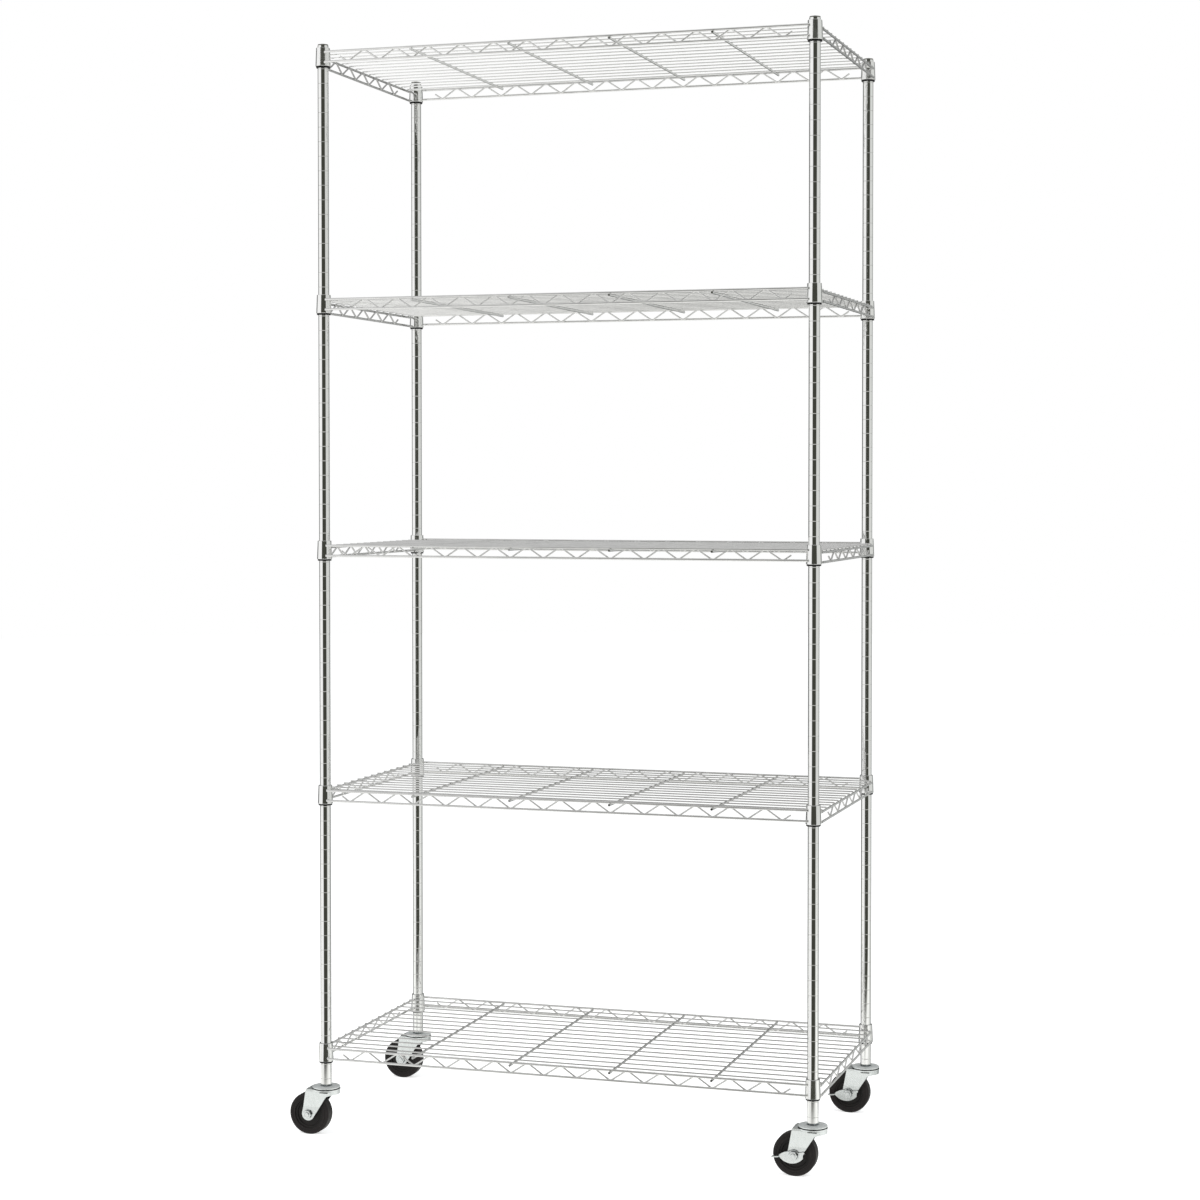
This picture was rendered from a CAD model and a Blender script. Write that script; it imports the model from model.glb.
"""Looks of the five-tier wire shelving rack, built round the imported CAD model. Metres, +Z up, front at -Y."""

import math
import random

import bmesh
import bpy
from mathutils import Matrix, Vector


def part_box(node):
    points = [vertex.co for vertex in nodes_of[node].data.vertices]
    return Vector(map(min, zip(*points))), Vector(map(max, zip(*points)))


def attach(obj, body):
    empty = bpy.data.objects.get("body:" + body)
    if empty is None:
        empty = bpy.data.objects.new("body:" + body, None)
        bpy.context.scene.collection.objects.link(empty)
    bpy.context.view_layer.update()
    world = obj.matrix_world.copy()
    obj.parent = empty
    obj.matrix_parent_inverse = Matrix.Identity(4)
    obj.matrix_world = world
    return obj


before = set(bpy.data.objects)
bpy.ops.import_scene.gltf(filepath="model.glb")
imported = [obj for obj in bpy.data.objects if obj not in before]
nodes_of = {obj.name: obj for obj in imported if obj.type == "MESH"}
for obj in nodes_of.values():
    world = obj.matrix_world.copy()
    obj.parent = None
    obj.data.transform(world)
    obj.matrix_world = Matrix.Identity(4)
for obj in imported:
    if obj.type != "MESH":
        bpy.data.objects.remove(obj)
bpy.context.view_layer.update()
scene = bpy.context.scene
scene.view_settings.view_transform = "Standard"

SHELVES = ("bottom", "lower", "middle", "upper", "top")
CORNERS = ("front_left", "front_right", "back_left", "back_right")
MM = 0.001


# Camera, at the photograph's angle

PICTURE = 1200
FOCAL_PX = 2455.9
PRINCIPAL = (622.1, 541.3)
SENSOR = 36.0
CAMERA_AT = Vector((1.3520, -4.1863, 1.1636))
CAMERA_YAW = math.radians(17.39)
CAMERA_PITCH = math.radians(-1.49)
FAR_CLIP = 100

camera = bpy.data.objects.new("camera", bpy.data.cameras.new("camera"))
scene.collection.objects.link(camera)
camera.location = CAMERA_AT
camera.rotation_euler = (math.pi / 2 + CAMERA_PITCH, 0, CAMERA_YAW)
camera.data.sensor_width = SENSOR
camera.data.lens = SENSOR * FOCAL_PX / PICTURE
camera.data.shift_x = (PICTURE / 2 - PRINCIPAL[0]) / PICTURE
camera.data.shift_y = (PRINCIPAL[1] - PICTURE / 2) / PICTURE
camera.data.clip_end = FAR_CLIP
scene.camera = camera


# Small helpers for node trees

class Tree:
    """Adds nodes to a node tree and links them."""

    def __init__(self, tree):
        self.tree = tree

    def add(self, kind, inputs=None, **settings):
        node = self.tree.nodes.new(kind)
        for key, value in settings.items():
            setattr(node, key, value)
        for key, value in (inputs or {}).items():
            self.put(node.inputs[key], value)
        return node

    def put(self, socket, value):
        if isinstance(value, bpy.types.NodeSocket):
            self.tree.links.new(value, socket)
        else:
            socket.default_value = value

    def math(self, operation, a, b=0.0):
        return self.add("ShaderNodeMath", {0: a, 1: b}, operation=operation).outputs[0]

    def remap(self, value, low, high, to_low=0.0, to_high=1.0, smooth=True):
        kind = "SMOOTHSTEP" if smooth else "LINEAR"
        node = self.add(
            "ShaderNodeMapRange",
            {"Value": value, "From Min": low, "From Max": high, "To Min": to_low, "To Max": to_high},
            interpolation_type=kind,
        )
        return node.outputs["Result"]

    def mix(self, factor, a, b, blend="MIX"):
        node = self.add("ShaderNodeMix", {0: factor, 6: a, 7: b}, data_type="RGBA", blend_type=blend)
        return node.outputs[2]

    def noise(self, vector, scale, detail=3.0, roughness=0.5):
        node = self.add(
            "ShaderNodeTexNoise",
            {"Vector": vector, "Scale": scale, "Detail": detail, "Roughness": roughness},
        )
        return node.outputs["Fac"]

    def stretched_noise(self, vector, stretch, detail):
        longer = self.add("ShaderNodeMapping", {"Vector": vector, "Scale": stretch})
        return self.noise(longer.outputs["Vector"], 1.0, detail)

    def part(self, vector, axis):
        return self.add("ShaderNodeSeparateXYZ", {0: vector}).outputs[axis]

    def ray_kinds(self):
        """Whether a ray is a mirrored one, and whether it is either that or the camera's own."""
        rays = self.add("ShaderNodeLightPath").outputs
        mirrored = self.math("MAXIMUM", rays["Is Glossy Ray"], rays["Is Transmission Ray"])
        return mirrored, self.math("MAXIMUM", rays["Is Camera Ray"], mirrored)


def rgb(r, g, b):
    return (r, g, b, 1.0)


def material(name):
    """A new material: its tree, shader, and object coordinates in metres."""
    mat = bpy.data.materials.new(name)
    mat.use_nodes = True
    tree = Tree(mat.node_tree)
    shader = mat.node_tree.nodes["Principled BSDF"]
    place = tree.add("ShaderNodeTexCoord").outputs["Object"]
    return mat, tree, shader, place


def bump(tree, shader, height, strength, distance):
    node = tree.add("ShaderNodeBump", {"Height": height, "Strength": strength, "Distance": distance})
    tree.put(shader.inputs["Normal"], node.outputs["Normal"])


# World: white to the eye and in mirrors, where a studio's panels stand before it, and plain light elsewhere

WHITE = rgb(1, 1, 1)
PLAIN_LIGHT = rgb(0.62, 0.63, 0.64)
TOWARDS_CAMERA = (CAMERA_AT * Vector((1, 1, 0))).normalized()
TO_THE_RIGHT = Vector((-TOWARDS_CAMERA.y, TOWARDS_CAMERA.x, 0))
# Each panel's tone, and the soft edge where it begins: a cosine to the camera's side or the right, or a height
FRONT_PANEL, FRONT_EDGE = rgb(0.055, 0.057, 0.046), (0.72, 0.83)
RIGHT_PANEL, RIGHT_EDGE = rgb(0.74, 0.75, 0.73), (-0.2, 0.8)
BACK_PANEL, BACK_EDGE = rgb(0.17, 0.175, 0.17), (-0.30, -0.58)
BACK_GAP, BACK_GAP_LEFT, BACK_GAP_RIGHT = rgb(0.55, 0.56, 0.55), (0.36, 0.46), (0.82, 0.72)
CEILING, CEILING_EDGE = rgb(0.63, 0.63, 0.63), (0.30, 0.55)
GROUND, GROUND_EDGE = rgb(0.95, 0.95, 0.93), (-0.30, -0.50)
NEARLY_UPRIGHT = 1e-4


def make_world():
    world = bpy.data.worlds.new("studio")
    scene.world = world
    world.use_nodes = True
    world.node_tree.nodes.clear()
    t = Tree(world.node_tree)
    way = t.add("ShaderNodeTexCoord").outputs["Generated"]
    x, y, z = t.add("ShaderNodeSeparateXYZ", {0: way}).outputs
    flat = t.math("SQRT", t.math("ADD", t.math("MULTIPLY", x, x), t.math("MULTIPLY", y, y)))
    flat = t.math("MAXIMUM", flat, NEARLY_UPRIGHT)

    def cosine(heading):
        along = t.math("ADD", t.math("MULTIPLY", x, heading.x), t.math("MULTIPLY", y, heading.y))
        return t.math("DIVIDE", along, flat)

    turn, right = cosine(TOWARDS_CAMERA), cosine(TO_THE_RIGHT)
    gap = t.math("MULTIPLY", t.remap(right, *BACK_GAP_LEFT), t.remap(right, *BACK_GAP_RIGHT))
    back = t.mix(gap, BACK_PANEL, BACK_GAP)
    panels = t.mix(t.remap(right, *RIGHT_EDGE), WHITE, RIGHT_PANEL)
    panels = t.mix(t.remap(turn, *BACK_EDGE), panels, back)
    panels = t.mix(t.remap(turn, *FRONT_EDGE), panels, FRONT_PANEL)
    panels = t.mix(t.remap(z, *CEILING_EDGE), panels, CEILING)
    panels = t.mix(t.remap(z, *GROUND_EDGE), panels, GROUND)
    mirrored, backdrop = t.ray_kinds()
    seen = t.mix(backdrop, PLAIN_LIGHT, WHITE)
    seen = t.mix(mirrored, seen, panels)
    sky = t.add("ShaderNodeBackground", {"Color": seen, "Strength": 1.0})
    end = t.add("ShaderNodeOutputWorld")
    t.tree.links.new(sky.outputs[0], end.inputs["Surface"])


make_world()


# Lamps

LAMP_AIM, LAMP_SIZE = Vector((0, 0, 0.9)), (2.0, 2.4)


def make_lamp(name, at, watts):
    data = bpy.data.lights.new(name, "AREA")
    data.shape = "RECTANGLE"
    data.size, data.size_y = LAMP_SIZE
    data.energy = watts
    lamp = bpy.data.objects.new(name, data)
    scene.collection.objects.link(lamp)
    lamp.location = at
    lamp.rotation_euler = (LAMP_AIM - Vector(at)).to_track_quat("-Z", "Y").to_euler()
    lamp.visible_glossy = False


make_lamp("key", (-2.6, -2.6, 3.2), 95)
make_lamp("fill", (3.4, -1.2, 2.6), 60)


# Floor: white to the eye, with the rack's shadow; in mirrors a sheet that greys to the front, with soft edges

FLOOR_RADIUS, FLOOR_SEGMENTS = 14, 64
FLOOR_TONES, FLOOR_CLOUDS = (rgb(0.78, 0.78, 0.78), rgb(0.82, 0.82, 0.81)), 3.0
FLOOR_LIFT = 0.55
MIRRORED_TONES = (rgb(0.55, 0.55, 0.53), rgb(0.82, 0.82, 0.80))
# Places along Y
MIRRORED_GREYING, MIRRORED_FRONT, MIRRORED_BACK = (-0.75, -0.10), (-0.85, -0.40), (0.25, -0.10)


def make_floor():
    mesh = bpy.data.meshes.new("floor")
    bm = bmesh.new()
    bmesh.ops.create_circle(bm, cap_ends=True, radius=FLOOR_RADIUS, segments=FLOOR_SEGMENTS)
    bm.to_mesh(mesh)
    bm.free()
    floor = bpy.data.objects.new("floor", mesh)
    scene.collection.objects.link(floor)
    mat = bpy.data.materials.new("floor")
    mat.use_nodes = True
    mat.node_tree.nodes.clear()
    t = Tree(mat.node_tree)
    place = t.add("ShaderNodeTexCoord").outputs["Object"]
    y = t.part(place, "Y")
    mirrored, backdrop = t.ray_kinds()
    shade = t.mix(mirrored, WHITE, t.mix(t.remap(y, *MIRRORED_GREYING), *MIRRORED_TONES))
    tone = t.mix(t.noise(place, FLOOR_CLOUDS), *FLOOR_TONES)
    paint = t.add("ShaderNodeBsdfDiffuse", {"Color": t.mix(1.0, tone, shade, "MULTIPLY")})
    strength = t.math("MULTIPLY", backdrop, FLOOR_LIFT)
    lift = t.add("ShaderNodeEmission", {"Color": shade, "Strength": strength})
    sheet = t.add("ShaderNodeAddShader", {0: paint.outputs[0], 1: lift.outputs[0]})
    on_sheet = t.math("MULTIPLY", t.remap(y, *MIRRORED_FRONT), t.remap(y, *MIRRORED_BACK))
    off_sheet = t.math("MULTIPLY", mirrored, t.math("SUBTRACT", 1.0, on_sheet))
    from_below = t.add("ShaderNodeNewGeometry").outputs["Backfacing"]
    unseen = t.math("MAXIMUM", from_below, off_sheet)
    clear = t.add("ShaderNodeBsdfTransparent")
    surface = t.add("ShaderNodeMixShader", {0: unseen, 1: sheet.outputs[0], 2: clear.outputs[0]})
    end = t.add("ShaderNodeOutputMaterial")
    t.tree.links.new(surface.outputs[0], end.inputs["Surface"])
    mesh.materials.append(mat)


make_floor()


# Materials: noise scales per metre, and the range that most of a noise's values keep to

MOST = (0.3, 0.7)
# Grooves along the posts, in millimetres
GROOVE_Z, GROOVE_PITCH, GROOVE_EDGE = 100.5, 25.4, (0.8, 0.5)
# Heights of the lowest and highest shelf, between which the wires' tone changes
LOWEST, HIGHEST = 0.2, 1.8


def make_chrome(name, rough, grooved=False):
    """Bright plating on tube: faint clouds and lines in tone and polish, and dull grooves along a post."""
    mat, t, s, place = material(name)
    lines = t.stretched_noise(place, (2600, 2600, 14), 4.0)
    clouds = t.noise(place, 55.0, 4.0)
    tone = t.mix(clouds, rgb(0.84, 0.845, 0.84), rgb(0.90, 0.90, 0.885))
    if grooved:
        height = t.math("SUBTRACT", t.part(place, "Z"), GROOVE_Z * MM)
        from_groove = t.math("PINGPONG", height, GROOVE_PITCH / 2 * MM)
        near = t.remap(from_groove, GROOVE_EDGE[0] * MM, GROOVE_EDGE[1] * MM)
        tone = t.mix(near, tone, rgb(0.72, 0.72, 0.70))
    t.put(s.inputs["Base Color"], tone)
    s.inputs["Metallic"].default_value = 1.0
    polish = t.math("ADD", lines, clouds)
    t.put(s.inputs["Roughness"], t.remap(polish, 0.7, 1.3, 0.6 * rough, 1.4 * rough))
    return mat


def make_wire_chrome(name, low_tone, high_tone):
    """Plating over drawn wire: small dimples and a slightly uneven tone, which changes from shelf to shelf."""
    mat, t, s, place = material(name)
    clouds = t.noise(place, 38.0)
    dimples = t.noise(place, 2400.0)
    level = t.remap(t.part(place, "Z"), LOWEST, HIGHEST, low_tone, high_tone, smooth=False)
    level = t.math("ADD", level, t.remap(clouds, *MOST, -0.04, 0.04))
    t.put(s.inputs["Base Color"], t.mix(level, rgb(0, 0, 0), rgb(1, 1, 0.99)))
    s.inputs["Metallic"].default_value = 1.0
    t.put(s.inputs["Roughness"], t.remap(clouds, *MOST, 0.05, 0.10))
    bump(t, s, dimples, 0.04, 0.01 * MM)
    return mat


def make_weld():
    """Plated weld metal: greyer than the wires, with a lumpy skin."""
    mat, t, s, place = material("weld_chrome")
    lumps = t.noise(place, 900.0)
    t.put(s.inputs["Base Color"], t.mix(lumps, rgb(0.70, 0.70, 0.69), rgb(0.88, 0.88, 0.87)))
    s.inputs["Metallic"].default_value = 1.0
    t.put(s.inputs["Roughness"], t.remap(lumps, *MOST, 0.25, 0.42))
    bump(t, s, lumps, 0.20, 0.10 * MM)
    return mat


def make_zinc(name, pale, rough):
    """Bright zinc plating on pressed steel: bluish, with a soft crystal bloom, scuffs, streaks and dark crevices."""
    mat, t, s, place = material(name)
    bloom = t.noise(place, 130.0, 4.0, 0.6)
    streaks = t.stretched_noise(place, (330, 330, 26), 3.0)
    cells = t.add("ShaderNodeTexVoronoi", {"Vector": place, "Scale": 420.0}).outputs["Distance"]
    scuffs = t.stretched_noise(place, (500, 90, 2600), 3.0)
    bluish = rgb(0.88 * pale, 0.915 * pale, 0.92 * pale)
    tone = t.mix(bloom, bluish, rgb(0.98 * pale, pale, 0.985 * pale))
    tone = t.mix(t.remap(cells, 0.1, 0.7, 0.0, 0.15), tone, rgb(0.70, 0.77, 0.79))
    tone = t.mix(t.remap(streaks, 0.42, 0.68, 0.0, 0.35), tone, rgb(0.66, 0.70, 0.69))
    open_to = t.add("ShaderNodeAmbientOcclusion", {"Distance": 6 * MM}, samples=8).outputs["AO"]
    tone = t.mix(t.remap(open_to, 0.85, 0.35), tone, rgb(0.06, 0.075, 0.085))
    t.put(s.inputs["Base Color"], tone)
    s.inputs["Metallic"].default_value = 1.0
    polish = t.math("ADD", bloom, t.math("MULTIPLY", scuffs, 0.4))
    t.put(s.inputs["Roughness"], t.remap(polish, 0.4, 1.0, rough, rough + 0.14))
    bump(t, s, scuffs, 0.10, 0.03 * MM)
    return mat


def make_plastic(name, dark, pale, rough, shine=0.5):
    """Moulded plastic with a fine matt grain and a little handling shine."""
    mat, t, s, place = material(name)
    s.inputs["Specular IOR Level"].default_value = shine
    grain = t.noise(place, 2800.0, 2.0)
    clouds = t.noise(place, 160.0)
    t.put(s.inputs["Base Color"], t.mix(clouds, dark, pale))
    t.put(s.inputs["Roughness"], t.remap(clouds, *MOST, rough - 0.06, rough + 0.06))
    bump(t, s, grain, 0.18, 0.05 * MM)
    return mat


def make_rubber():
    """Hard black rubber, warm rather than blue, with specks of floor dust and fine mould grain."""
    mat, t, s, place = material("tyre_rubber")
    grain = t.noise(place, 1900.0)
    clouds = t.noise(place, 120.0, 4.0)
    dust = t.remap(t.noise(place, 420.0, 4.0), 0.52, 0.75, 0.0, 0.5)
    tone = t.mix(clouds, rgb(0.012, 0.010, 0.010), rgb(0.022, 0.019, 0.018))
    tone = t.mix(dust, tone, rgb(0.040, 0.035, 0.033))
    t.put(s.inputs["Base Color"], tone)
    s.inputs["Specular IOR Level"].default_value = 0.22
    t.put(s.inputs["Roughness"], t.remap(clouds, *MOST, 0.46, 0.60))
    bump(t, s, grain, 0.20, 0.06 * MM)
    return mat


POST_CHROME = make_chrome("post_chrome", 0.035, grooved=True)
COLLAR_CHROME = {
    "bottom": make_chrome("collar_chrome_dull", 0.12),
    "lower": make_chrome("collar_chrome", 0.08),
    "top": make_chrome("collar_chrome_soft", 0.17),
}
DECK_CHROME = make_wire_chrome("deck_chrome", 0.62, 0.98)
RAIL_CHROME = make_wire_chrome("rail_chrome", 0.78, 0.84)
END_CHROME = make_wire_chrome("end_chrome", 0.84, 0.50)
WELD = make_weld()
ZINC = make_zinc("zinc_plate", 0.86, 0.20)
DISC_ZINC = make_zinc("zinc_plate_soft", 0.98, 0.46)
SLEEVE = make_plastic("sleeve_plastic", rgb(0.006, 0.006, 0.006), rgb(0.012, 0.012, 0.012), 0.45, 0.2)
CAP = make_plastic("cap_plastic", rgb(0.085, 0.086, 0.075), rgb(0.12, 0.12, 0.105), 0.36)
HUB = make_plastic("hub_plastic", rgb(0.012, 0.011, 0.010), rgb(0.020, 0.018, 0.017), 0.50, 0.22)
GREASE = make_plastic("bearing_grease", rgb(0.010, 0.012, 0.013), rgb(0.030, 0.034, 0.036), 0.30)
RUBBER = make_rubber()


def dress(node, mat):
    mesh = nodes_of[node].data
    mesh.materials.clear()
    mesh.materials.append(mat)


for corner in CORNERS:
    dress("post_" + corner, POST_CHROME)
    dress(corner + "_fork", ZINC)
    dress(corner + "_axle", ZINC)
    dress(corner + "_wheel_hub", HUB)
    dress(corner + "_tyre", RUBBER)
for shelf in SHELVES:
    dress(f"{shelf}_shelf_deck", DECK_CHROME)
    dress(f"{shelf}_shelf_long_rails", RAIL_CHROME)
    dress(f"{shelf}_shelf_end_rails", END_CHROME)
    dress(f"{shelf}_shelf_collars", COLLAR_CHROME.get(shelf, COLLAR_CHROME["lower"]))
    dress(f"{shelf}_shelf_sleeves", SLEEVE)
for node in ("caster_stems", "front_right_brake_lever", "back_right_brake_lever"):
    dress(node, ZINC)
dress("caster_discs", DISC_ZINC)
dress("caster_balls", GREASE)
dress("post_caps", CAP)
dress("post_inserts", HUB)


# Weld beads: where wires cross, where zigzags touch frame wires, and where wires end on rails and collars
# Sizes in millimetres, as in the CAD model, and heights above a collar's lower edge

POST_R = 9.5
post_low, post_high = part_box("post_front_right")
# Distances of the posts' axes from the middle, along X and Y
SPAN = (post_high[0] / MM - POST_R, -post_low[1] / MM - POST_R)
DECK_EDGE, DECK_COUNT, DECK_WELD_H = 199.5, 14, 21.5
RIB_X = (-270, -90, 90, 270)
ZIGZAG_PITCH, FRAME_WIRE_R, RAIL_SHORT = 60, 2, 8.5
# Each rail: heights of its two wires, their distances out from the posts' line, first lower bend, and bends
LONG_RAIL = ((6.2, 23.8), (11.85, 10.96), -390.0, 14)
END_RAIL = ((2.9, 19.3), (12.01, 11.19), -127.8, 6)
# Half-sizes of the beads; those on rails for a rail that runs along X
CROSS_BEAD, DECK_END_BEAD, RIB_END_BEAD = (2.1, 1.7, 0.8), (1.2, 1.3, 0.6), (1.7, 1.9, 0.8)
BEND_BEAD, RAIL_END_BEAD = (2.6, 0.9, 1.5), (1.7, 0.8, 1.5)
# Offsets of beads from the wires that they join
DECK_END_IN, DECK_END_DOWN, RIB_END_UP = 0.6, 0.2, 0.3
BEND_OUT, RAIL_END_IN, RAIL_END_OVER = 0.2, 0.1, 0.9
BEAD_TURNS, BEAD_RINGS, BEAD_SWELL = 9, 6, (0.85, 1.15)


def add_bead(bm, at, half, chance):
    """A squeezed bead with an uneven edge round a point; half is its half-size along X, Y and Z."""
    def corner(tilt, turn, swell):
        out = math.cos(tilt) * swell
        offset = (half[0] * out * math.cos(turn), half[1] * out * math.sin(turn), half[2] * math.sin(tilt))
        return bm.verts.new((Vector(at) + Vector(offset)) * MM)

    low, high = corner(-math.pi / 2, 0, 1), corner(math.pi / 2, 0, 1)
    turns = [math.tau * k / BEAD_TURNS for k in range(BEAD_TURNS)]
    rings = []
    for i in range(1, BEAD_RINGS):
        tilt = math.pi * (i / BEAD_RINGS - 0.5)
        rings.append([corner(tilt, turn, chance.uniform(*BEAD_SWELL)) for turn in turns])
    for k in range(BEAD_TURNS):
        n = (k + 1) % BEAD_TURNS
        bm.faces.new((low, rings[0][n], rings[0][k]))
        bm.faces.new((high, rings[-1][k], rings[-1][n]))
        for a, b in zip(rings, rings[1:]):
            bm.faces.new((a[k], a[n], b[n], b[k]))


def rail_beads(rail, half_span, half_depth):
    """Beads of one rail that runs along X at -half_depth: (point, half-size) pairs."""
    heights, outs, first, bends = rail
    beads = []
    for level, (height, out) in enumerate(zip(heights, outs)):
        wire_inside = -half_depth - out + FRAME_WIRE_R
        for i in range(bends - level):
            x = first + ZIGZAG_PITCH * (i + level / 2)
            beads.append(((x, wire_inside - BEND_OUT, height), BEND_BEAD))
        for side in (-1, 1):
            x = side * (half_span - RAIL_SHORT - RAIL_END_OVER)
            beads.append(((x, wire_inside + RAIL_END_IN, height), RAIL_END_BEAD))
    return beads


def shelf_beads():
    """All beads of one shelf: (point, half-size) pairs."""
    deck_end_x = SPAN[0] + END_RAIL[1][1] - DECK_END_IN
    rib_end_y = SPAN[1] + LONG_RAIL[1][1]
    beads = []
    for i in range(DECK_COUNT):
        y = DECK_EDGE * (2 * i / (DECK_COUNT - 1) - 1)
        for x in RIB_X:
            beads.append(((x, y, DECK_WELD_H), CROSS_BEAD))
        for side in (-1, 1):
            beads.append(((side * deck_end_x, y, DECK_WELD_H - DECK_END_DOWN), DECK_END_BEAD))
    for side in (-1, 1):
        for x in RIB_X:
            beads.append(((x, side * rib_end_y, DECK_WELD_H + RIB_END_UP), RIB_END_BEAD))
        for (x, y, z), half in rail_beads(LONG_RAIL, *SPAN):
            beads.append(((-side * x, -side * y, z), half))
        for (x, y, z), half in rail_beads(END_RAIL, SPAN[1], SPAN[0]):
            beads.append(((-side * y, side * x, z), (half[1], half[0], half[2])))
    return beads


def make_welds(shelf):
    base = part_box(f"{shelf}_shelf_collars")[0][2] / MM
    chance = random.Random(shelf)
    bm = bmesh.new()
    for (x, y, z), half in shelf_beads():
        add_bead(bm, (x, y, z + base), half, chance)
    mesh = bpy.data.meshes.new(f"{shelf}_shelf_welds")
    bm.to_mesh(mesh)
    bm.free()
    mesh.shade_smooth()
    mesh.materials.append(WELD)
    welds = bpy.data.objects.new(mesh.name, mesh)
    scene.collection.objects.link(welds)
    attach(welds, "rack")


for shelf in SHELVES:
    make_welds(shelf)
